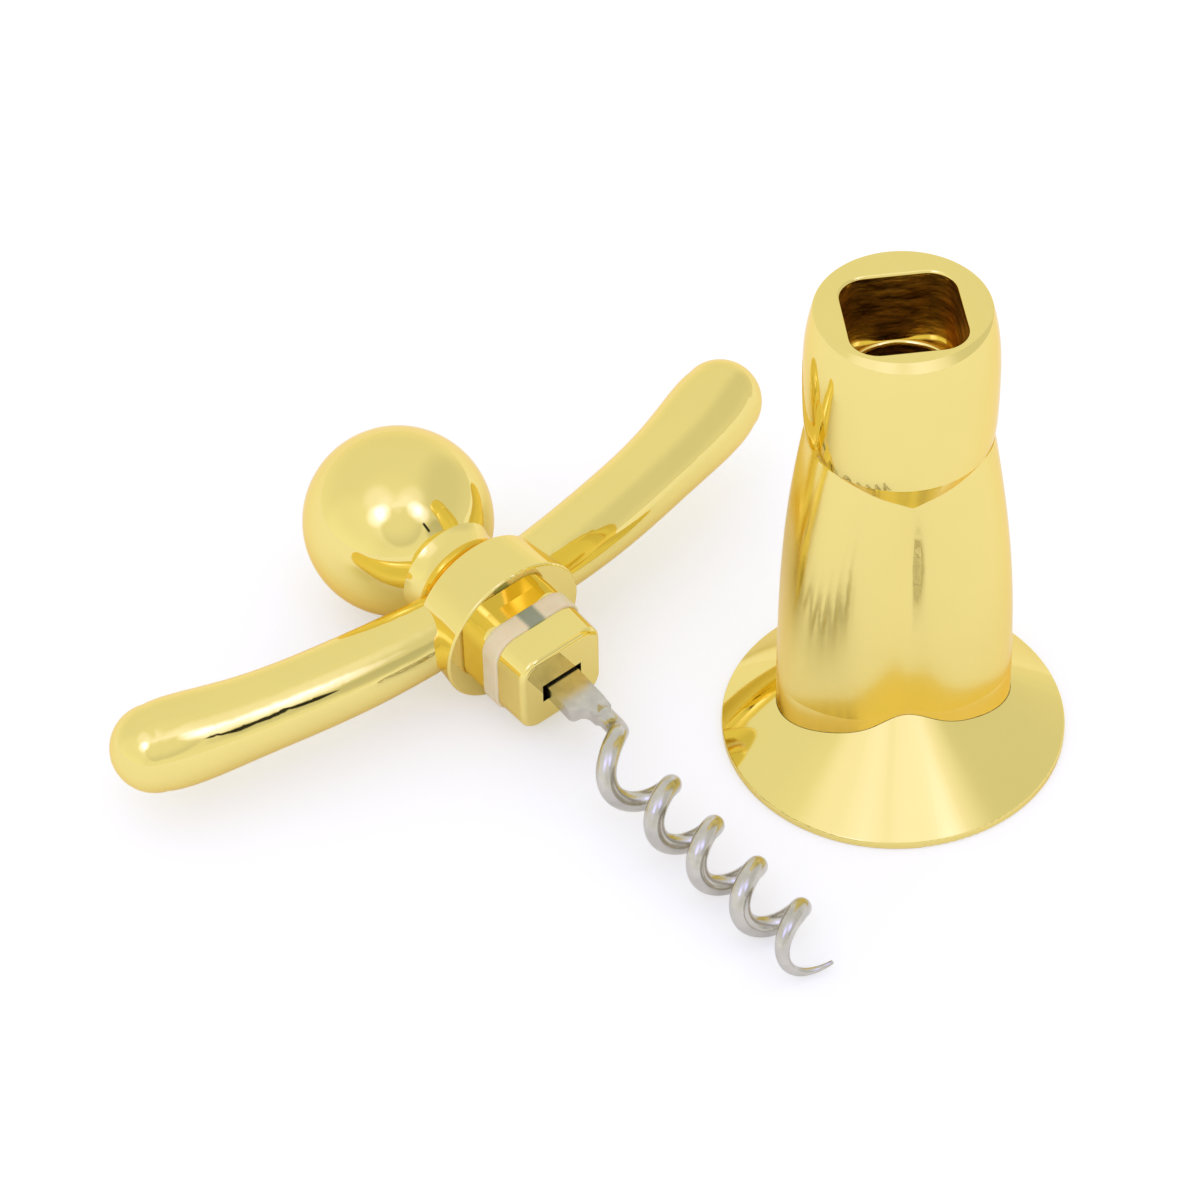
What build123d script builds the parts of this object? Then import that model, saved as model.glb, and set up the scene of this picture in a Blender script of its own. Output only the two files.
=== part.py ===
"""Figure corkscrew in two halves: a ball-headed handle with a worm, and the stand that it plugs into.

Millimetres, +Z up. The origin is the middle of the stand's underside, and the stand's front faces -Y.
The handle lies on the table beside the stand, on its ball and on the edge of its hem.
"""
import math
import os

from build123d import *

# Driving dimensions of the stand, heights measured from the table
stand_height = 76.0
stand_top_radius = 11.5
barrel_radius = 12.8
leg_half_width = 16.4
leg_half_depth = 11.0
skirt_height = 55.8
skirt_radius = 12.4
skirt_round = 0.3
undercut_height = 5.4
undercut_slope = 21.0
foot_radius = 24.0
foot_lip = 1.2
foot_lip_round = 0.3
foot_slope = 34.0
foot_floor = 3.0
top_edge_round = 0.25
front_facet = 1.2
front_facet_slope = 35.0
front_facet_shift = 1.4

# The hollow of the stand
key_offset = -0.7
socket_width = 15.1
socket_corner = 3.7
mouth_round = 0.55
ledge_round = 0.7
bore_radius = 7.1

# Driving dimensions of the handle, distances measured from the middle of the ball along the handle
ball_radius = 13.8
neck_top_radius = 7.75
neck_bend_radius = 7.3
neck_bend_distance = 13.6
shoulder_radius = 10.53
shoulder_distance = 18.25
shoulder_round = 0.45
hem_radius = 11.6
hem_distance = 26.7
hem_edge_round = 0.35
arm_root_radius = 5.05
arm_tip_radius = 6.23
arm_low_distance = 20.05
arm_tip_distance = 11.64
arm_tip_reach = 50.8

# The plug below the hem, with its seal groove and its slot
plug_length = 10.8
plug_width = 14.5
plug_corner = 3.5
plug_draft = 1.5
plug_edge_round = 0.8
groove_start = 2.35
groove_width = 3.2
groove_depth = 1.3
seal_round = 0.4
slot_width = 6.8
slot_height = 3.4
slot_depth = 9.8
slot_drop = 1.25

# The worm: a flattened tang, a straight run of wire, then the helix and its point
tang_width = 5.4
tang_thickness = 2.3
tang_lean = 3.0
tang_shoulder = 6.05
tang_corner = 0.9
tang_bite = 1.4
neck_end = 8.2
neck_fade = 1.1
wire_diameter = 2.85
wire_root_diameter = 1.8
wire_across = 0.7
helix_radius = 3.2
helix_offset = -3.55
helix_level = -0.95
helix_pitch = 8.857
helix_start = 15.05
helix_turns = 4.86
first_turn_stretch = 3.0
stretched_turns = 1.25
coil_step_turn = 0.25
lead_in_drop = 2.65
point_turn = 0.65
point_outward_share = 0.57
point_diameter = 0.55
point_stations = 8

# Small hardware
pin_diameter = 2.6
stud_diameter = 5.0
stud_length = 14.0
stud_end_chamfer = 0.5
screw_diameter = 4.0
screw_head_diameter = 7.6
screw_length = 14.0
screw_offset = 11.3
screw_recess = 0.3
screw_slot_width = 1.1
screw_slot_depth = 0.9
screw_end_chamfer = 0.5

# Clearances
socket_clearance = 0.3
seal_clearance = 0.05
pocket_clearance = 0.05
pin_clearance = 0.02
tang_gap = 0.6
overrun = 1.0

# How the handle lies beside the stand
handle_x = -65.9
handle_y = 36.8
handle_heading = -57.3
handle_roll = -2.1

# Radius of the stand's barrel as a share of its widest, at shares of the height from its skirt to the top
barrel_shares = [(0.08, 0.985), (0.2, 0.995), (0.46, 1.0), (0.79, 0.97)]
# Half width, half depth, valley and groove of the legs as shares, at shares of the height of the skirt;
# in between, the power of the oval, which is 2 for an ellipse and more for a squarer one
leg_shares = [
    (0.21, 1.0, 1.0, 2.0, 0.155, 0.0),
    (0.4, 0.973, 1.0, 2.45, 0.07, 0.03),
    (0.6, 0.925, 1.0, 2.85, 0.02, 0.08),
    (0.78, 0.858, 1.0, 2.85, 0.01, 0.08),
    (0.92, 0.791, 0.995, 2.6, 0.0, 0.03),
    (1.0, 0.747, 0.985, 2.45, 0.0, 0.0),
]
valley_width_share = 0.2
groove_width_share = 0.065
quarter_points = 9
quarter_crowding = 1.5
arm_stations = 4
gap_samples = 12


# Frames
def lying_tilt():
    """Tilt of a handle that touches the table with its ball and with the edge of its hem."""
    reach = math.hypot(hem_distance, hem_radius)
    return math.degrees(math.asin(ball_radius / reach) - math.atan2(hem_radius, hem_distance))


def handle_plane():
    """Plane through the middle of the ball: X along the right arm, Y upwards, Z towards the worm."""
    tilt = math.radians(lying_tilt())
    heading = math.radians(handle_heading)
    roll = math.radians(handle_roll)
    axis = Vector(
        math.cos(heading) * math.cos(tilt), math.sin(heading) * math.cos(tilt), -math.sin(tilt)
    )
    level = Vector(0, 0, 1).cross(axis).normalized()
    upright = axis.cross(level)
    arm = level * math.cos(roll) - upright * math.sin(roll)
    return Plane(origin=(handle_x, handle_y, ball_radius), x_dir=arm, z_dir=axis)


handle = handle_plane()
handle_side = Plane(origin=handle.origin, x_dir=handle.x_dir, z_dir=-handle.y_dir)
handle_axis = Axis(handle.origin, handle.z_dir)
stand_side = Plane.XZ

ledge_height = stand_height - plug_length - socket_clearance
neck_seat = math.sqrt(ball_radius**2 - neck_top_radius**2)
plug_end = hem_distance + plug_length
groove_middle = hem_distance + groove_start + groove_width / 2
tang_level = -slot_drop
socket_depth = plug_length + socket_clearance
core_width = plug_width - 2 * groove_depth
core_corner = plug_corner - groove_depth
seal_width = socket_width - 2 * seal_clearance
tang_root = tang_gap - slot_depth
lean = math.radians(tang_lean)
pin_plane = Plane(
    origin=handle.from_local_coords((0, key_offset, groove_middle)), x_dir=handle.x_dir, z_dir=handle.y_dir
)
arm_sag = arm_low_distance - arm_tip_distance
arm_bend_radius = (arm_tip_reach**2 + arm_sag**2) / (2 * arm_sag)
arm_swing = math.asin(arm_tip_reach / arm_bend_radius)


def handle_point(across, upwards, distance):
    """Point given in the handle's own axes."""
    return handle.from_local_coords((across, upwards, distance))


def handle_direction(across, upwards, distance):
    """Direction given in the handle's own axes."""
    return handle.x_dir * across + handle.y_dir * upwards + handle.z_dir * distance


def arm_station(share):
    """Plane across the arms at a share of the way from the middle to a tip, the right arm positive."""
    swing = share * arm_swing
    drop = arm_bend_radius * (1 - math.cos(swing))
    middle = handle_point(arm_bend_radius * math.sin(swing), 0, arm_low_distance - drop)
    heading = handle_direction(math.cos(swing), 0, -math.sin(swing))
    return Plane(origin=middle, x_dir=handle.y_dir, z_dir=heading)


def leg_section(height, half_width, half_depth, power, valley, groove=0):
    """Section of both legs at a height: an oval, drawn in at the front and back between the lobes."""
    # Points crowd towards the front and the back, where the valley is narrow
    quarter = [math.pi / 2 * (step / quarter_points) ** quarter_crowding for step in range(quarter_points)]
    points = []
    for middle in (math.pi / 2, -math.pi / 2):
        behind = [middle - swing for swing in reversed(quarter[1:])]
        for turn in [middle - math.pi / 2, *behind, *(middle + swing for swing in quarter)]:
            across = math.cos(turn)
            deep = math.copysign((1 - abs(across) ** power) ** (1 / power), math.sin(turn))
            wide = valley * math.exp(-((across / valley_width_share) ** 2) / 2)
            narrow = groove * math.exp(-((across / groove_width_share) ** 2) / 2)
            points.append((half_width * across, half_depth * (1 - wide - narrow) * deep))
    with BuildSketch(Plane.XY.offset(height)) as section:
        with BuildLine():
            Spline(*points, periodic=True)
        make_face()
    return section.sketch


# The stand's casting: legs, barrel, keyed socket and the bore for the worm
spigot_share = leg_shares[0]
spigot_height = skirt_height * spigot_share[0]

leg_sections = [
    leg_section(skirt_height * z, leg_half_width * width, leg_half_depth * depth, power, valley, groove)
    for z, width, depth, power, valley, groove in leg_shares
]
spigot_section = leg_section(foot_floor, leg_half_width, leg_half_depth, *spigot_share[3:5])

with BuildPart() as legs:
    loft(sections=leg_sections)
    extrude(spigot_section, amount=spigot_height - foot_floor)

with BuildPart() as barrel:
    with BuildSketch(stand_side) as barrel_side:
        with BuildLine():
            rise = stand_height - skirt_height
            low = skirt_height - undercut_height
            low_radius = skirt_radius - undercut_height * math.tan(math.radians(undercut_slope))
            shape = [(barrel_radius * r, skirt_height + rise * z) for z, r in barrel_shares]
            side = Spline((skirt_radius, skirt_height), *shape, (stand_top_radius, stand_height))
            Polyline(side @ 1, (0, stand_height), (0, low), (low_radius, low), side @ 0)
        make_face()
        skirt = barrel_side.vertices().sort_by_distance((skirt_radius, skirt_height))[0]
        fillet(skirt, radius=skirt_round)
    revolve(axis=Axis.Z)

with BuildPart() as stand_body:
    add(barrel.part)
    rim = stand_body.edges().filter_by(GeomType.CIRCLE).sort_by(Axis.Z)[-1]
    fillet(rim, radius=top_edge_round)
    # A shallow facet shaved off the rim at the front
    with BuildSketch(stand_side.offset(-front_facet_shift)):
        slope = math.radians(front_facet_slope)
        inner = stand_top_radius + front_facet_shift - front_facet * math.cos(slope)
        reach = front_facet + overrun
        with BuildLine():
            Polyline(
                (inner - overrun * math.cos(slope), stand_height + overrun * math.sin(slope)),
                (inner + reach * math.cos(slope), stand_height - reach * math.sin(slope)),
                (inner + reach * math.cos(slope), stand_height + overrun * math.sin(slope)),
                close=True,
            )
        make_face()
    revolve(axis=Axis((0, front_facet_shift, 0), (0, 0, 1)), mode=Mode.SUBTRACT)
    add(legs.part)
    with BuildSketch(Plane.XY.offset(ledge_height)):
        with Locations((0, key_offset)):
            RectangleRounded(socket_width, socket_width, socket_corner)
    extrude(amount=socket_depth + overrun, mode=Mode.SUBTRACT)
    mouth = stand_body.faces().sort_by(Axis.Z)[-1].inner_wires()[0]
    fillet(mouth.edges(), radius=mouth_round)
    with BuildSketch(Plane.XY.offset(foot_floor - overrun)):
        with Locations((0, key_offset)):
            Circle(bore_radius)
    extrude(amount=ledge_height - foot_floor + 2 * overrun, mode=Mode.SUBTRACT)
    ledge = stand_body.faces().filter_by(Plane.XY).filter_by_position(
        Axis.Z, ledge_height - overrun, ledge_height + overrun
    )
    fillet(ledge[0].inner_wires()[0].edges(), radius=ledge_round)
    for side_sign in (-1, 1):
        with BuildSketch(Plane.XY.offset(foot_floor - overrun)):
            with Locations((side_sign * screw_offset, 0)):
                Circle(screw_diameter / 2 + pin_clearance)
        extrude(amount=screw_length + screw_recess - foot_floor + 2 * overrun, mode=Mode.SUBTRACT)
stand_body.part.label = "stand_body"

# The flared foot, with a pocket for the legs and countersunk holes beneath
with BuildPart() as stand_foot:
    with BuildSketch(stand_side) as flare:
        slope = math.tan(math.radians(foot_slope))
        inner = bore_radius
        top = foot_lip + (foot_radius - inner) * slope
        with BuildLine():
            Polyline((0, 0), (foot_radius, 0), (foot_radius, foot_lip), (inner, top), (0, top), close=True)
        make_face()
        lip = flare.vertices().group_by(Axis.X)[-1]
        fillet(lip, radius=foot_lip_round)
    revolve(axis=Axis.Z)
    extrude(
        leg_section(
            foot_floor,
            leg_half_width + pocket_clearance,
            leg_half_depth + pocket_clearance,
            *spigot_share[3:5],
        ),
        amount=top,
        mode=Mode.SUBTRACT,
    )
    with BuildSketch(stand_side):
        with BuildLine():
            sunk = screw_recess + (screw_head_diameter - screw_diameter) / 2
            bolt = screw_diameter / 2 + pin_clearance
            head = screw_head_diameter / 2 + pin_clearance
            Polyline(
                (0, 0),
                (head, 0),
                (head, screw_recess),
                (bolt, sunk),
                (bolt, foot_floor),
                (0, foot_floor),
                close=True,
            )
        make_face()
    hole = revolve(axis=Axis.Z, mode=Mode.PRIVATE)
    for side_sign in (-1, 1):
        add(hole.moved(Location((side_sign * screw_offset, 0, 0))), mode=Mode.SUBTRACT)
stand_foot.part.label = "stand_foot"

with BuildPart() as foot_screws:
    for side_sign in (-1, 1):
        with BuildSketch(stand_side.shift_origin((side_sign * screw_offset, 0, 0))) as shape:
            with BuildLine():
                Polyline(
                    (0, screw_recess),
                    (screw_head_diameter / 2, screw_recess),
                    (screw_diameter / 2, sunk),
                    (screw_diameter / 2, screw_recess + screw_length),
                    (0, screw_recess + screw_length),
                    close=True,
                )
            make_face()
            chamfer(shape.vertices().group_by(Axis.Y)[-1].sort_by(Axis.X)[-1], length=screw_end_chamfer)
        revolve(axis=Axis((side_sign * screw_offset, 0, 0), (0, 0, 1)))
        with BuildSketch(Plane.XY.offset(screw_recess)):
            with Locations((side_sign * screw_offset, 0)):
                Rectangle(screw_slot_width, screw_head_diameter)
        extrude(amount=screw_slot_depth, mode=Mode.SUBTRACT)
foot_screws.part.label = "foot_screws"

# The head: a ball with a flat seat for the neck, held by a stud
stud_radius = stud_diameter / 2
stud_half = stud_length / 2

with BuildPart(handle) as head_ball:
    Sphere(ball_radius)
    with BuildSketch(handle.offset(neck_seat)):
        Circle(ball_radius)
    extrude(amount=ball_radius, mode=Mode.SUBTRACT)
    with BuildSketch(handle.offset(neck_seat - stud_half - pin_clearance)):
        Circle(stud_radius + pin_clearance)
    extrude(amount=stud_length, mode=Mode.SUBTRACT)
head_ball.part.label = "head_ball"

with BuildPart() as head_stud:
    with BuildSketch(handle.offset(neck_seat - stud_half)):
        Circle(stud_radius)
    extrude(amount=stud_length)
    chamfer(head_stud.edges().filter_by(GeomType.CIRCLE), length=stud_end_chamfer)
head_stud.part.label = "head_stud"

# The handle's casting: neck and chest, the two arms, and the plug below the hem
arm_sections = []
for station in range(-arm_stations, arm_stations + 1):
    share = station / arm_stations
    with BuildSketch(arm_station(share)) as arm_section:
        Circle(arm_root_radius + (arm_tip_radius - arm_root_radius) * abs(share))
    arm_sections.append(arm_section.sketch)

with BuildPart() as handle_casting:
    with BuildSketch(handle_side) as chest:
        with BuildLine():
            neck = ThreePointArc(
                (neck_top_radius, neck_seat),
                (neck_bend_radius, neck_bend_distance),
                (shoulder_radius, shoulder_distance),
            )
            Polyline(neck @ 1, (hem_radius, hem_distance), (0, hem_distance), (0, neck_seat), neck @ 0)
        make_face()
        fillet(chest.vertices().sort_by_distance((shoulder_radius, shoulder_distance))[0], shoulder_round)
        fillet(chest.vertices().sort_by_distance((hem_radius, hem_distance))[0], hem_edge_round)
    revolve(axis=handle_axis)
    loft(sections=arm_sections)
    for share in (-1, 1):
        tip = arm_station(share)
        outward = Plane(origin=tip.origin, x_dir=tip.z_dir * share, z_dir=handle.y_dir)
        with BuildSketch(outward):
            with BuildLine():
                crown = CenterArc((0, 0), arm_tip_radius, 0, 90)
                Polyline(crown @ 1, (0, 0), crown @ 0)
            make_face()
        revolve(axis=Axis(outward.origin, outward.x_dir))
    with BuildSketch(handle.offset(hem_distance)):
        with Locations((0, key_offset)):
            RectangleRounded(plug_width, plug_width, plug_corner)
    extrude(amount=plug_length, taper=plug_draft)
    face = handle_casting.faces().sort_by(handle_axis)[-1]
    fillet(face.outer_wire().edges(), radius=plug_edge_round)
    with BuildSketch(handle.offset(hem_distance + groove_start)):
        with Locations((0, key_offset)):
            RectangleRounded(plug_width + 2 * overrun, plug_width + 2 * overrun, plug_corner)
            RectangleRounded(core_width, core_width, core_corner, mode=Mode.SUBTRACT)
    extrude(amount=groove_width, mode=Mode.SUBTRACT)
    with BuildSketch(handle.offset(plug_end - slot_depth)):
        with Locations((0, tang_level)):
            Rectangle(slot_width, slot_height)
    extrude(amount=slot_depth + overrun, mode=Mode.SUBTRACT)
    with BuildSketch(pin_plane):
        Circle(pin_diameter / 2 + pin_clearance)
    extrude(amount=core_width / 2 + overrun, both=True, mode=Mode.SUBTRACT)
    with BuildSketch(handle.offset(neck_seat - overrun)):
        Circle(stud_radius + pin_clearance)
    extrude(amount=stud_half + overrun + pin_clearance, mode=Mode.SUBTRACT)
handle_casting.part.label = "handle_casting"

with BuildPart() as seal_ring:
    with BuildSketch(handle.offset(hem_distance + groove_start)):
        with Locations((0, key_offset)):
            RectangleRounded(seal_width, seal_width, socket_corner - seal_clearance)
            RectangleRounded(core_width, core_width, core_corner, mode=Mode.SUBTRACT)
    extrude(amount=groove_width)
    rims = seal_ring.faces().sort_by(handle_axis)
    fillet(rims[0].outer_wire().edges() + rims[-1].outer_wire().edges(), radius=seal_round)
seal_ring.part.label = "seal_ring"

# The worm
tang_frame = Plane(
    origin=handle_point(0, tang_level, plug_end),
    x_dir=handle_direction(math.cos(lean), 0, math.sin(lean)),
    z_dir=-handle.y_dir,
)


def on_tang(across, beyond):
    """Point of the wire's own axes, beyond the plug's face, given in the leaning tang's sketch."""
    return (
        across * math.cos(lean) + beyond * math.sin(lean),
        beyond * math.cos(lean) - across * math.sin(lean),
    )


def coil_distance(turn):
    """Distance along the helix, whose first turn is drawn out towards the tang."""
    left = max(1 - turn / stretched_turns, 0)
    return helix_start + helix_pitch * turn - first_turn_stretch * left**2


def coil_point(turn, radius):
    """Point of the worm's centre line after a number of turns."""
    angle = 2 * math.pi * turn
    across = helix_offset + radius * math.cos(angle)
    upwards = helix_level + radius * math.sin(angle)
    return handle_point(across, upwards, plug_end + coil_distance(turn))


def coil_heading(turn):
    """Heading of the worm's centre line after a number of turns."""
    angle = 2 * math.pi * turn
    around = 2 * math.pi * helix_radius
    left = max(1 - turn / stretched_turns, 0)
    onward = helix_pitch + 2 * first_turn_stretch * left / stretched_turns
    return handle_direction(-around * math.sin(angle), around * math.cos(angle), onward).normalized()


def biarc(start, heading, finish, end_heading):
    """Middle point and heading of the two arcs that join two points smoothly."""
    chord = finish - start
    both = heading + end_heading
    square = 2 * (heading.dot(end_heading) - 1)
    linear = -2 * chord.dot(both)
    constant = chord.dot(chord)
    reach = (-linear - math.sqrt(linear**2 - 4 * square * constant)) / (2 * square)
    first = start + heading * reach
    second = finish - end_heading * reach
    return (first + second) / 2, (second - first).normalized()


wire_radius = wire_diameter / 2
taper_start = helix_turns - point_turn

# The point thins more on its inner side, so that it stays near the helix's outer wall
point_sections = []
for station in range(point_stations + 1):
    share = station / point_stations
    turn = taper_start + point_turn * share
    thinned = (wire_radius - point_diameter / 2) * share
    with BuildSketch(
        Plane(
            origin=coil_point(turn, helix_radius + point_outward_share * thinned),
            z_dir=coil_heading(turn),
        )
    ) as point_section:
        Circle(wire_radius - thinned)
    point_sections.append(point_section.sketch)

with BuildPart() as worm:
    with BuildSketch(tang_frame) as blade:
        half = tang_width / 2
        fade = wire_root_diameter / 4
        with BuildLine():
            Polyline(
                (-half, tang_root),
                (half, tang_root),
                (half, tang_shoulder),
                on_tang(wire_across + wire_radius, neck_end),
                on_tang(wire_across + fade, neck_end + neck_fade),
                on_tang(wire_across - fade, neck_end + neck_fade),
                on_tang(wire_across - wire_radius, neck_end),
                on_tang(wire_across - wire_radius, tang_shoulder),
                (-half, tang_shoulder),
                close=True,
            )
        make_face()
        bite = blade.vertices().sort_by_distance(on_tang(wire_across - wire_radius, tang_shoulder))[0]
        fillet(bite, radius=tang_bite)
        fillet(blade.vertices().sort_by_distance((-half, tang_shoulder))[0], radius=tang_corner)
    extrude(amount=tang_thickness / 2, both=True)
    with BuildSketch(pin_plane):
        Circle(pin_diameter / 2 + pin_clearance)
    extrude(amount=core_width / 2, both=True, mode=Mode.SUBTRACT)
    root = plug_end + tang_shoulder
    with BuildSketch(handle.offset(root)):
        with Locations((wire_across, tang_level)):
            Circle(wire_root_diameter / 2)
    with BuildSketch(handle.offset(plug_end + neck_end)):
        with Locations((wire_across, tang_level)):
            Circle(wire_radius)
    loft(ruled=True)
    with BuildLine() as centre_line:
        begin = handle_point(wire_across, tang_level, plug_end + neck_end)
        bend = handle_point(wire_across, tang_level, plug_end + coil_distance(0) - lead_in_drop)
        Line(begin, bend)
        point, heading, turn = bend, handle.z_dir, 0
        while turn < taper_start:
            turn = min(turn + coil_step_turn, taper_start)
            finish, end_heading = coil_point(turn, helix_radius), coil_heading(turn)
            middle, middle_heading = biarc(point, heading, finish, end_heading)
            TangentArc(point, middle, tangent=heading)
            TangentArc(middle, finish, tangent=middle_heading)
            point, heading = finish, end_heading
    with BuildSketch(handle.offset(plug_end + neck_end)):
        with Locations((wire_across, tang_level)):
            Circle(wire_radius)
    sweep(path=centre_line.line)
    loft(sections=point_sections)
worm.part.label = "worm"

with BuildPart() as worm_pin:
    with BuildSketch(pin_plane):
        Circle(pin_diameter / 2)
    extrude(amount=core_width / 2, both=True)
worm_pin.part.label = "worm_pin"

# Least gap of the worm's coils, measured between points of the centre line at least half a turn apart
trail = [
    coil_point(step * coil_step_turn / gap_samples, helix_radius)
    for step in range(int(helix_turns / coil_step_turn * gap_samples) + 1)
]
half_turn = int(gap_samples / (2 * coil_step_turn))
closest = min(
    (trail[late] - trail[early]).length
    for early in range(len(trail))
    for late in range(early + half_turn, len(trail))
)
print("least gap between the coils of the worm", round(closest - wire_diameter, 2))

os.makedirs("parts", exist_ok=True)
export_step(stand_body.part, "parts/stand_body.step")
export_step(stand_foot.part, "parts/stand_foot.step")
export_step(foot_screws.part, "parts/foot_screws.step")
export_step(head_ball.part, "parts/head_ball.step")
export_step(head_stud.part, "parts/head_stud.step")
export_step(handle_casting.part, "parts/handle_casting.step")
export_step(seal_ring.part, "parts/seal_ring.step")
export_step(worm.part, "parts/worm.step")
export_step(worm_pin.part, "parts/worm_pin.step")
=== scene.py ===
import math

import bpy
from mathutils import Matrix, Vector

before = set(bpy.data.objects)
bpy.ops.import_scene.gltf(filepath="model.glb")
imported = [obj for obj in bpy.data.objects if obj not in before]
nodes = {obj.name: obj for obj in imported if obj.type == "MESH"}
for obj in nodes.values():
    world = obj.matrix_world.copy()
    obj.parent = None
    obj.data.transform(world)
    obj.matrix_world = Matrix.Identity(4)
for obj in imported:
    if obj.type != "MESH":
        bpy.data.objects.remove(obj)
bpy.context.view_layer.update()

# Sizes of the object that the materials follow, in metres
MOUTH_HEIGHT = 0.0755
LEDGE_HEIGHT = 0.0649
SKIRT_HEIGHT = 0.0556
SOCKET_HALF = 0.00755
SOCKET_OFFSET = -0.0007
BORE_RADIUS = 0.0071
PATCH_HALF = 0.0010
EDGE_SOFT = 0.0002

# Nearly all of a noise lies between these two values
NOISE_LOW = 0.3
NOISE_HIGH = 0.7

WHITE = (1.0, 1.0, 1.0)

# Polished gold. A pair of roughnesses runs from the low to the high places of a noise
GOLD = (0.9, 0.75, 0.25)
GOLD_EDGE = (1.0, 0.86, 0.60)
GOLD_CLOUDS = 60.0
GOLD_SPREAD = 0.015
GOLD_ROUGHNESS = (0.02, 0.05)

# The rough casting inside the stand: random brown grain, darkened as painted shade of the recess
SOCKET_SHADED_DARK = (0.17, 0.075, 0.0055)
SOCKET_LIGHT = (1.0, 0.55, 0.065)
SOCKET_DARK_END = 0.36
SOCKET_GRAIN = 230.0
SOCKET_DETAIL = 6.0
SOCKET_SQUEEZE = (1, 1, 4)
SOCKET_ROUGHNESS = 0.42
SOCKET_RELIEF = 0.0003

# Brushed gold, where a quarter turn lays the brushing upwards instead of round the stand
LEG_ROUGHNESS = 0.13
LEG_BRUSHING = 0.9
FOOT_STREAKS = 6.0
FOOT_DETAIL = 5.0
FOOT_ROUGHNESS = (0.03, 0.07)
FOOT_BRUSHING = 0.6
QUARTER_TURN = 0.25

# Steel of the worm, and of the pin, the stud and the screws
STEEL = (0.67, 0.64, 0.56)
STEEL_GRAIN = 400.0
STEEL_ROUGHNESS = (0.16, 0.28)
STEEL_SHADE = 0.8
STEEL_RELIEF = 0.000005
HARDWARE = (0.6, 0.6, 0.61)
HARDWARE_GRAIN = 900.0
HARDWARE_ROUGHNESS = (0.3, 0.4)

# Milky silicone, and the patch where the pin shows through it
SILICONE = (0.8, 0.67, 0.42)
SILICONE_CLOUDS = 250.0
SILICONE_SHADE = 0.93
SILICONE_ROUGHNESS = 0.32
SILICONE_MILK = 0.35
SILICONE_DEPTH = 0.001
PATCH_GREY = (0.29, 0.31, 0.19)
PATCH_FADE = 1.8


# Shader helpers
def new_material(name):
    """A material with its node tree, its shader and the texture coordinates of the piece."""
    made = bpy.data.materials.new(name)
    made.use_nodes = True
    tree = made.node_tree
    shader = tree.nodes["Principled BSDF"]
    place = tree.nodes.new("ShaderNodeTexCoord")
    return made, tree, shader, place.outputs["Object"]


def feed(tree, socket, value):
    """Put a number, a colour or another socket's value into a socket."""
    if isinstance(value, (int, float)):
        socket.default_value = value
    elif isinstance(value, tuple):
        socket.default_value = (*value, 1)
    else:
        tree.links.new(value, socket)


def dress(tree, shader, looks):
    """Feed the shader's inputs by their names."""
    for name, value in looks.items():
        feed(tree, shader.inputs[name], value)


def calculate(tree, operation, *values):
    """Result of a sum, product or other operation on sockets and numbers."""
    made = tree.nodes.new("ShaderNodeMath")
    made.operation = operation
    for socket, value in zip(made.inputs, values):
        feed(tree, socket, value)
    return made.outputs[0]


def noise(tree, coordinates, scale, detail=3.0, roughness=0.5):
    """Cloudy values, with smaller clouds where the scale is larger."""
    texture = tree.nodes.new("ShaderNodeTexNoise")
    texture.inputs["Scale"].default_value = scale
    texture.inputs["Detail"].default_value = detail
    texture.inputs["Roughness"].default_value = roughness
    tree.links.new(coordinates, texture.inputs["Vector"])
    return texture.outputs["Fac"]


def squeezed(tree, coordinates, scale):
    """Coordinates that make a texture finer along each of the piece's axes."""
    mapping = tree.nodes.new("ShaderNodeMapping")
    mapping.inputs["Scale"].default_value = scale
    tree.links.new(coordinates, mapping.inputs["Vector"])
    return mapping.outputs["Vector"]


def ramp(tree, value, low_colour, high_colour, start=NOISE_LOW):
    """Colour that goes from the low to the high one as a noise rises from the start."""
    made = tree.nodes.new("ShaderNodeValToRGB")
    first, last = made.color_ramp.elements
    first.position = start
    first.color = (*low_colour, 1)
    last.position = NOISE_HIGH
    last.color = (*high_colour, 1)
    tree.links.new(value, made.inputs["Fac"])
    return made.outputs["Color"]


def level(tree, value, low, high, start=0.0, end=1.0, soft=False):
    """Value between start and end turned into one between low and high, and held at its ends."""
    made = tree.nodes.new("ShaderNodeMapRange")
    if soft:
        made.interpolation_type = "SMOOTHSTEP"
    made.inputs["From Min"].default_value = start
    made.inputs["From Max"].default_value = end
    feed(tree, made.inputs["To Min"], low)
    feed(tree, made.inputs["To Max"], high)
    tree.links.new(value, made.inputs["Value"])
    return made.outputs["Result"]


def under(tree, value, start, end, soft=False):
    """1 while the value is under the start, fading to 0 at the end."""
    return level(tree, value, 1.0, 0.0, start, end, soft)


def product(tree, first, *others):
    """All the values multiplied."""
    for other in others:
        first = calculate(tree, "MULTIPLY", first, other)
    return first


def mix(tree, factor, first, second):
    """Colour that goes from the first to the second as the factor goes from 0 to 1."""
    made = tree.nodes.new("ShaderNodeMix")
    made.data_type = "RGBA"
    feed(tree, made.inputs["Factor"], factor)
    feed(tree, made.inputs[6], first)
    feed(tree, made.inputs[7], second)
    return made.outputs[2]


def bump(tree, shader, height, distance, strength=1.0):
    """Fine relief that follows a height."""
    made = tree.nodes.new("ShaderNodeBump")
    made.inputs["Distance"].default_value = distance
    feed(tree, made.inputs["Strength"], strength)
    tree.links.new(height, made.inputs["Height"])
    tree.links.new(made.outputs["Normal"], shader.inputs["Normal"])


def axes_of(tree, coordinates):
    """The three coordinates as separate sockets."""
    made = tree.nodes.new("ShaderNodeSeparateXYZ")
    tree.links.new(coordinates, made.inputs[0])
    return made.outputs[0], made.outputs[1], made.outputs[2]


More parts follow.
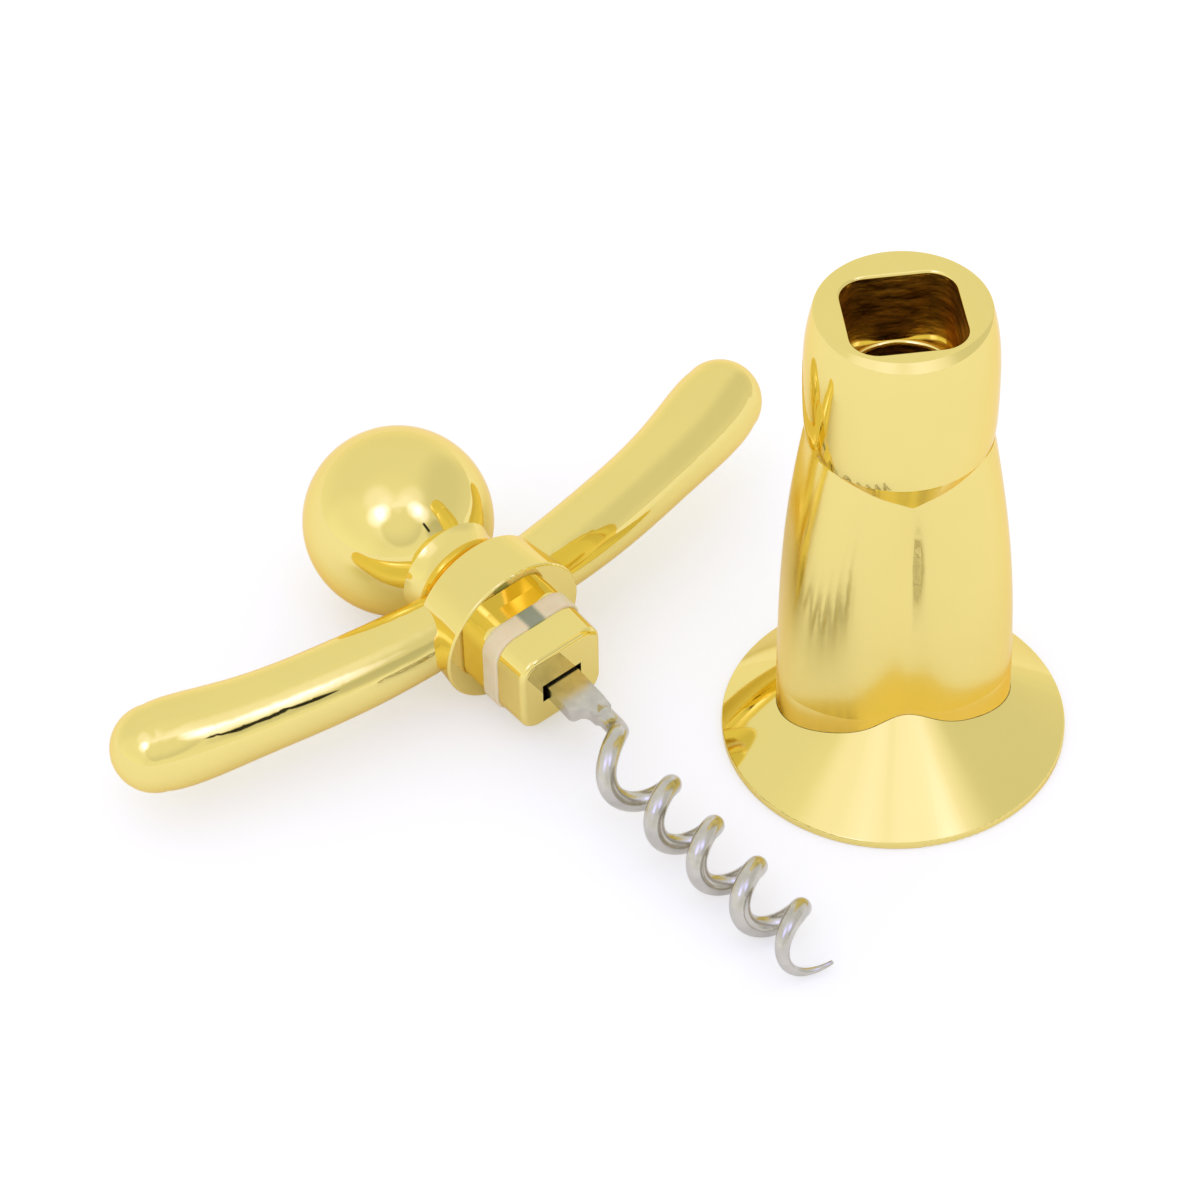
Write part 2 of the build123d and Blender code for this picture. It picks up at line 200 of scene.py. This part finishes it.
def distance_from(tree, first, second, first_middle=0.0, second_middle=0.0):
    """Distance from a line, given the two coordinates across it and the line's place in them."""
    one = calculate(tree, "SUBTRACT", first, first_middle)
    two = calculate(tree, "SUBTRACT", second, second_middle)
    one_square = calculate(tree, "MULTIPLY", one, one)
    square = calculate(tree, "MULTIPLY_ADD", two, two, one_square)
    return calculate(tree, "SQRT", square)


def vector(tree, operation, first, second):
    """Node that works on two vectors, a socket and a constant."""
    made = tree.nodes.new("ShaderNodeVectorMath")
    made.operation = operation
    tree.links.new(first, made.inputs[0])
    made.inputs[1].default_value = second
    return made


# Materials
def shade(colour, share):
    """The colour made lighter or darker by a share."""
    return tuple(min(share * part, 1) for part in colour)


def polish(tree, shader, place):
    """Turn the shader into polished metal. Gives its golden colour and the faint clouds in it."""
    dress(tree, shader, {"Metallic": 1.0, "Specular Tint": GOLD_EDGE})
    cloud = noise(tree, place, GOLD_CLOUDS)
    return ramp(tree, cloud, shade(GOLD, 1 - GOLD_SPREAD), shade(GOLD, 1 + GOLD_SPREAD)), cloud


def brush(tree, shader, amount):
    """Draw reflections out along lines that rise from the foot, as polishing round the stand does."""
    tangent = tree.nodes.new("ShaderNodeTangent")
    tangent.direction_type = "RADIAL"
    tangent.axis = "Z"
    tree.links.new(tangent.outputs["Tangent"], shader.inputs["Tangent"])
    dress(tree, shader, {"Anisotropic": amount, "Anisotropic Rotation": QUARTER_TURN})


def make_gold():
    made, tree, shader, place = new_material("polished_gold")
    colour, cloud = polish(tree, shader, place)
    dress(tree, shader, {"Base Color": colour, "Roughness": level(tree, cloud, *GOLD_ROUGHNESS)})
    return made


def unpolished_and_shaded(tree, across, deep, high):
    """1 on the walls of the socket and of the bore, where the finish is rough and shade is painted, and
    0 on the ledge between them and outside.
    """
    radius = distance_from(tree, across, deep, 0.0, SOCKET_OFFSET)
    in_bore = under(tree, radius, BORE_RADIUS + EDGE_SOFT, BORE_RADIUS + 2 * EDGE_SOFT)
    under_ledge = under(tree, high, LEDGE_HEIGHT - 5 * EDGE_SOFT, LEDGE_HEIGHT - 3 * EDGE_SOFT)
    sideways = calculate(tree, "ABSOLUTE", across)
    frontways = calculate(tree, "ABSOLUTE", calculate(tree, "SUBTRACT", deep, SOCKET_OFFSET))
    square = calculate(tree, "MAXIMUM", sideways, frontways)
    in_square = under(tree, square, SOCKET_HALF + EDGE_SOFT, SOCKET_HALF + 2 * EDGE_SOFT)
    over_ledge = level(tree, high, 0.0, 1.0, LEDGE_HEIGHT + EDGE_SOFT, LEDGE_HEIGHT + 3 * EDGE_SOFT)
    under_mouth = under(tree, high, MOUTH_HEIGHT - 3 * EDGE_SOFT, MOUTH_HEIGHT)
    in_socket = product(tree, in_square, over_ledge, under_mouth)
    return calculate(tree, "MAXIMUM", in_socket, product(tree, in_bore, under_ledge))


def make_stand_gold():
    """Polished gold outside, brushed on the legs, and inside the casting's rough brown grain, darkened
    as painted shade of the recess.
    """
    made, tree, shader, place = new_material("stand_gold")
    across, deep, high = axes_of(tree, place)
    # Mask for the rough finish and the painted shade inside the socket and bore
    rough_and_shaded = unpolished_and_shaded(tree, across, deep, high)
    colour, cloud = polish(tree, shader, place)
    fine = squeezed(tree, place, SOCKET_SQUEEZE)
    streaks = noise(tree, fine, SOCKET_GRAIN, SOCKET_DETAIL, roughness=0.6)
    # Brown grain of the casting, darkened as painted shade of the recess
    shaded_brown = ramp(tree, streaks, SOCKET_SHADED_DARK, SOCKET_LIGHT, SOCKET_DARK_END)
    on_legs = under(tree, high, SKIRT_HEIGHT - EDGE_SOFT, SKIRT_HEIGHT)
    outside = level(tree, on_legs, level(tree, cloud, *GOLD_ROUGHNESS), LEG_ROUGHNESS)
    roughness = level(tree, rough_and_shaded, outside, SOCKET_ROUGHNESS)
    dress(tree, shader, {"Base Color": mix(tree, rough_and_shaded, colour, shaded_brown), "Roughness": roughness})
    brush(tree, shader, product(tree, on_legs, LEG_BRUSHING))
    bump(tree, shader, streaks, SOCKET_RELIEF, rough_and_shaded)
    return made


def make_foot_gold():
    """Gold with soft streaks that spread from the legs to the rim."""
    made, tree, shader, place = new_material("foot_gold")
    across, deep, _ = axes_of(tree, place)
    streaks = tree.nodes.new("ShaderNodeTexNoise")
    streaks.noise_dimensions = "1D"
    streaks.inputs["Scale"].default_value = FOOT_STREAKS
    streaks.inputs["Detail"].default_value = FOOT_DETAIL
    feed(tree, streaks.inputs["W"], calculate(tree, "ARCTAN2", across, deep))
    colour, _ = polish(tree, shader, place)
    roughness = level(tree, streaks.outputs["Fac"], *FOOT_ROUGHNESS, NOISE_LOW, NOISE_HIGH)
    dress(tree, shader, {"Base Color": colour, "Roughness": roughness})
    brush(tree, shader, FOOT_BRUSHING)
    return made


def make_steel(name, colour, grain, roughness):
    """Satin steel with a fine cloudy grain."""
    made, tree, shader, place = new_material(name)
    cloud = noise(tree, place, grain)
    looks = {
        "Base Color": ramp(tree, cloud, shade(colour, STEEL_SHADE), colour),
        "Metallic": 1.0,
        "Roughness": level(tree, cloud, *roughness),
    }
    dress(tree, shader, looks)
    bump(tree, shader, cloud, STEEL_RELIEF)
    return made


def make_silicone(pin_middle, arm_direction):
    """Milky silicone through which the cross pin shows as a grey patch in the middle of each side."""
    made, tree, shader, place = new_material("milky_silicone")
    from_pin = vector(tree, "SUBTRACT", place, pin_middle).outputs["Vector"]
    along_arm = vector(tree, "DOT_PRODUCT", from_pin, arm_direction).outputs["Value"]
    sideways = calculate(tree, "ABSOLUTE", along_arm)
    in_patch = under(tree, sideways, PATCH_HALF, PATCH_FADE * PATCH_HALF, soft=True)
    cloud = noise(tree, place, SILICONE_CLOUDS)
    milk = ramp(tree, cloud, shade(SILICONE, SILICONE_SHADE), SILICONE)
    looks = {
        "Base Color": mix(tree, in_patch, milk, PATCH_GREY),
        "Roughness": SILICONE_ROUGHNESS,
        "Subsurface Weight": SILICONE_MILK,
        "Subsurface Scale": SILICONE_DEPTH,
    }
    dress(tree, shader, looks)
    return made


# Places that the materials follow
def spots_of(node):
    """Places of a node's vertices."""
    return [node.matrix_world @ vertex.co for vertex in node.data.vertices]


def middle(spots):
    """Mean of the places."""
    return sum(spots, Vector()) / len(spots)


def axis_of(spots):
    """Direction of a long straight piece, from its middle to the middle of one half."""
    centre = middle(spots)
    farthest = max(spots, key=lambda spot: (spot - centre).length) - centre
    half = [spot for spot in spots if (spot - centre).dot(farthest) > 0]
    return (middle(half) - centre).normalized()


pin_spots = spots_of(nodes["worm_pin"])
pin_middle = middle(pin_spots)
head_middle = middle(spots_of(nodes["head_ball"]))
arm_direction = axis_of(pin_spots).cross(pin_middle - head_middle).normalized()
gold = make_gold()
hardware = make_steel("hardware_steel", HARDWARE, HARDWARE_GRAIN, HARDWARE_ROUGHNESS)
dressed = {
    "head_ball": gold,
    "handle_casting": gold,
    "stand_body": make_stand_gold(),
    "stand_foot": make_foot_gold(),
    "seal_ring": make_silicone(pin_middle, arm_direction),
    "worm": make_steel("worm_steel", STEEL, STEEL_GRAIN, STEEL_ROUGHNESS),
    "worm_pin": hardware,
    "head_stud": hardware,
    "foot_screws": hardware,
}
for name, material in dressed.items():
    nodes[name].data.materials.clear()
    nodes[name].data.materials.append(material)

# Camera
CAMERA_PLACE = Vector((-0.06921, -0.36727, 0.39357))
FOCAL_SHARE = 3.20817
SENSOR = 36.0
NEAREST, FARTHEST = 0.01, 20.0
TURN, PITCH, ROLL = math.radians(4.5), math.radians(44.62), math.radians(-2.878)


def camera_turn():
    """The camera's turn, from its directions to the right, up and back."""
    flat = math.cos(PITCH)
    ahead = Vector((math.sin(TURN) * flat, math.cos(TURN) * flat, -math.sin(PITCH)))
    right = Vector((math.cos(TURN), -math.sin(TURN), 0))
    up = right.cross(ahead)
    rolled_right = right * math.cos(ROLL) + up * math.sin(ROLL)
    rolled_up = up * math.cos(ROLL) - right * math.sin(ROLL)
    return Matrix((rolled_right, rolled_up, -ahead)).transposed().to_4x4()


def add_camera():
    camera_data = bpy.data.cameras.new("camera")
    camera_data.sensor_width = SENSOR
    camera_data.lens = FOCAL_SHARE * SENSOR
    camera_data.clip_start = NEAREST
    camera_data.clip_end = FARTHEST
    camera = bpy.data.objects.new("camera", camera_data)
    bpy.context.scene.collection.objects.link(camera)
    camera.matrix_world = Matrix.Translation(CAMERA_PLACE) @ camera_turn()
    bpy.context.scene.camera = camera


add_camera()

# Floor: white to the camera but for a faint shadow, and to the metal plain paper with a painted pool of
# golden bounce light near the ball
FLOOR_REACH = 3.0
PAPER = 0.62
PAPER_SPREAD = 0.02
PAPER_CLOUDS = 40.0
PAPER_ROUGHNESS = 0.9
PAPER_MIRRORED = 0.96
GLOW = 0.41
# Painted golden bounce light from the ball, seen on the floor only by the metal
PAINTED_BOUNCE_GOLD = (0.95, 0.76, 0.22)
PAINTED_BOUNCE_SHARE = 0.5
PAINTED_BOUNCE_HALF = 0.008
PAINTED_BOUNCE_REACH = 0.032


def add_floor():
    """A square, so wide that its edges stay out of view."""
    floor_mesh = bpy.data.meshes.new("floor")
    corners = [(-1, -1), (1, -1), (1, 1), (-1, 1)]
    spots = [(x * FLOOR_REACH, y * FLOOR_REACH, 0) for x, y in corners]
    floor_mesh.from_pydata(spots, [], [(0, 1, 2, 3)])
    added = bpy.data.objects.new("floor", floor_mesh)
    bpy.context.scene.collection.objects.link(added)
    return added


def make_paper(head_middle):
    """Paper that glows a little to the camera. The metal sees a painted pool of golden bounce light on
    it under the ball.
    """
    made, tree, shader, place = new_material("floor_paper")
    to_camera = tree.nodes.new("ShaderNodeLightPath").outputs["Is Camera Ray"]
    cloud = noise(tree, place, PAPER_CLOUDS)
    white = ramp(tree, cloud, shade(WHITE, PAPER), shade(WHITE, PAPER + PAPER_SPREAD))
    across, deep, _ = axes_of(tree, place)
    from_head = distance_from(tree, across, deep, head_middle.x, head_middle.y)
    # Painted pool of golden bounce light on the floor around the ball
    in_painted_bounce = level(tree, from_head, PAINTED_BOUNCE_SHARE, 0.0, PAINTED_BOUNCE_HALF, PAINTED_BOUNCE_REACH, soft=True)
    mirrored_with_painted_bounce = mix(tree, in_painted_bounce, shade(WHITE, PAPER_MIRRORED), PAINTED_BOUNCE_GOLD)
    looks = {
        "Base Color": mix(tree, to_camera, mirrored_with_painted_bounce, white),
        "Roughness": PAPER_ROUGHNESS,
        "Specular IOR Level": 0.0,
        "Emission Color": WHITE,
        "Emission Strength": product(tree, to_camera, GLOW),
    }
    dress(tree, shader, looks)
    return made


floor = add_floor()
floor.data.materials.append(make_paper(head_middle))

# The light tent: even walls, lamps glowing through them over the camera, and the slit of the tent
FILL = 1.05
BACKDROP = 1.0
WALL = 0.876
HORIZON_GLOW = 0.065
HORIZON_REACH = 25

# Elevation, turn to the right of the camera, reach and soft edge in degrees, then the light added
PATCHES = [
    (60, -15, 25, 24, 0.04),
    (17, 50, 7, 8, -0.2),
    (12, 95, 35, 22, -0.12),
    (15, -60, 20, 25, 0.07),
]

# In the same order, the glow of the lamps round the tent's front panel, which hides its middle
LAMPS = [
    (46, 5, 10, 27, 0.165),
    (36, 8, 21, 6, -0.185),
    (59, 5, 1, 8, 0.09),
    (51, -25, 1, 12, 0.36),
    (45, -33, 1, 14, 0.36),
    (50, 38, 1, 11, 0.36),
    (42, 43, 1, 12, 0.36),
    (63, -50, 1, 20, 0.16),
    (63, 48, 1, 18, 0.12),
]
LAMP_TINT = (1.0, 1.0, 2.8)

# Ends of the slit by elevation and turn, then its half width, the softness of its edges and its light
SLIT_TOP = (30, 39.4)
SLIT_FOOT = (21, 41.6)
SLIT_HALF = 1.1
SLIT_SOFT = 0.8
SLIT_END = 3.5
SLIT_DARK = 0.03


def toward(elevation, turn):
    """Direction by elevation and by turn to the right of the camera, seen from the object."""
    rise, around = math.radians(elevation), math.radians(turn - 90) - TURN
    flat = math.cos(rise)
    return Vector((flat * math.cos(around), flat * math.sin(around), math.sin(rise)))


def near(tree, seen, direction, reach, soft, strength=1.0):
    """Light added within reach of a direction, fading to nothing over the soft edge."""
    facing = vector(tree, "DOT_PRODUCT", seen, direction).outputs["Value"]
    outer, inner = math.cos(math.radians(reach + soft)), math.cos(math.radians(reach))
    return level(tree, facing, 0.0, strength, outer, inner, soft=True)


def lit(tree, seen, light, glows):
    """The light with each of the glows added."""
    for elevation, turn, *extent in glows:
        light = calculate(tree, "ADD", light, near(tree, seen, toward(elevation, turn), *extent))
    return light


def slit(tree, seen, top, foot):
    """1 inside the narrow slit between two directions and 0 beside it."""
    across = vector(tree, "DOT_PRODUCT", seen, top.cross(foot).normalized()).outputs["Value"]
    inner, outer = math.radians(SLIT_HALF), math.radians(SLIT_HALF + SLIT_SOFT)
    beside = under(tree, calculate(tree, "ABSOLUTE", across), inner, outer)
    half_length = math.degrees(top.angle(foot)) / 2
    between = near(tree, seen, (top + foot).normalized(), half_length, SLIT_END)
    return product(tree, beside, between)


def add_tent():
    """The tent as the metal sees it, an even fill for what isn't mirrored, and white for the camera."""
    world = bpy.data.worlds.new("studio")
    bpy.context.scene.world = world
    world.use_nodes = True
    tree = world.node_tree
    seen = tree.nodes.new("ShaderNodeTexCoord").outputs["Generated"]
    height = axes_of(tree, seen)[2]
    glow_top = math.sin(math.radians(HORIZON_REACH))
    glow = level(tree, height, HORIZON_GLOW, 0.0, 0.0, glow_top, soft=True)
    walls = lit(tree, seen, calculate(tree, "ADD", glow, WALL), PATCHES)
    lamps = lit(tree, seen, 0.0, LAMPS)
    dark = slit(tree, seen, toward(*SLIT_TOP), toward(*SLIT_FOOT))
    light = level(tree, dark, calculate(tree, "ADD", walls, lamps), SLIT_DARK)
    path = tree.nodes.new("ShaderNodeLightPath")
    light = level(tree, path.outputs["Is Diffuse Ray"], light, FILL)
    light = level(tree, path.outputs["Is Camera Ray"], light, BACKDROP)
    looks = {"Color": mix(tree, lamps, WHITE, LAMP_TINT), "Strength": light}
    dress(tree, tree.nodes["Background"], looks)


add_tent()

bpy.context.scene.view_settings.view_transform = "Standard"
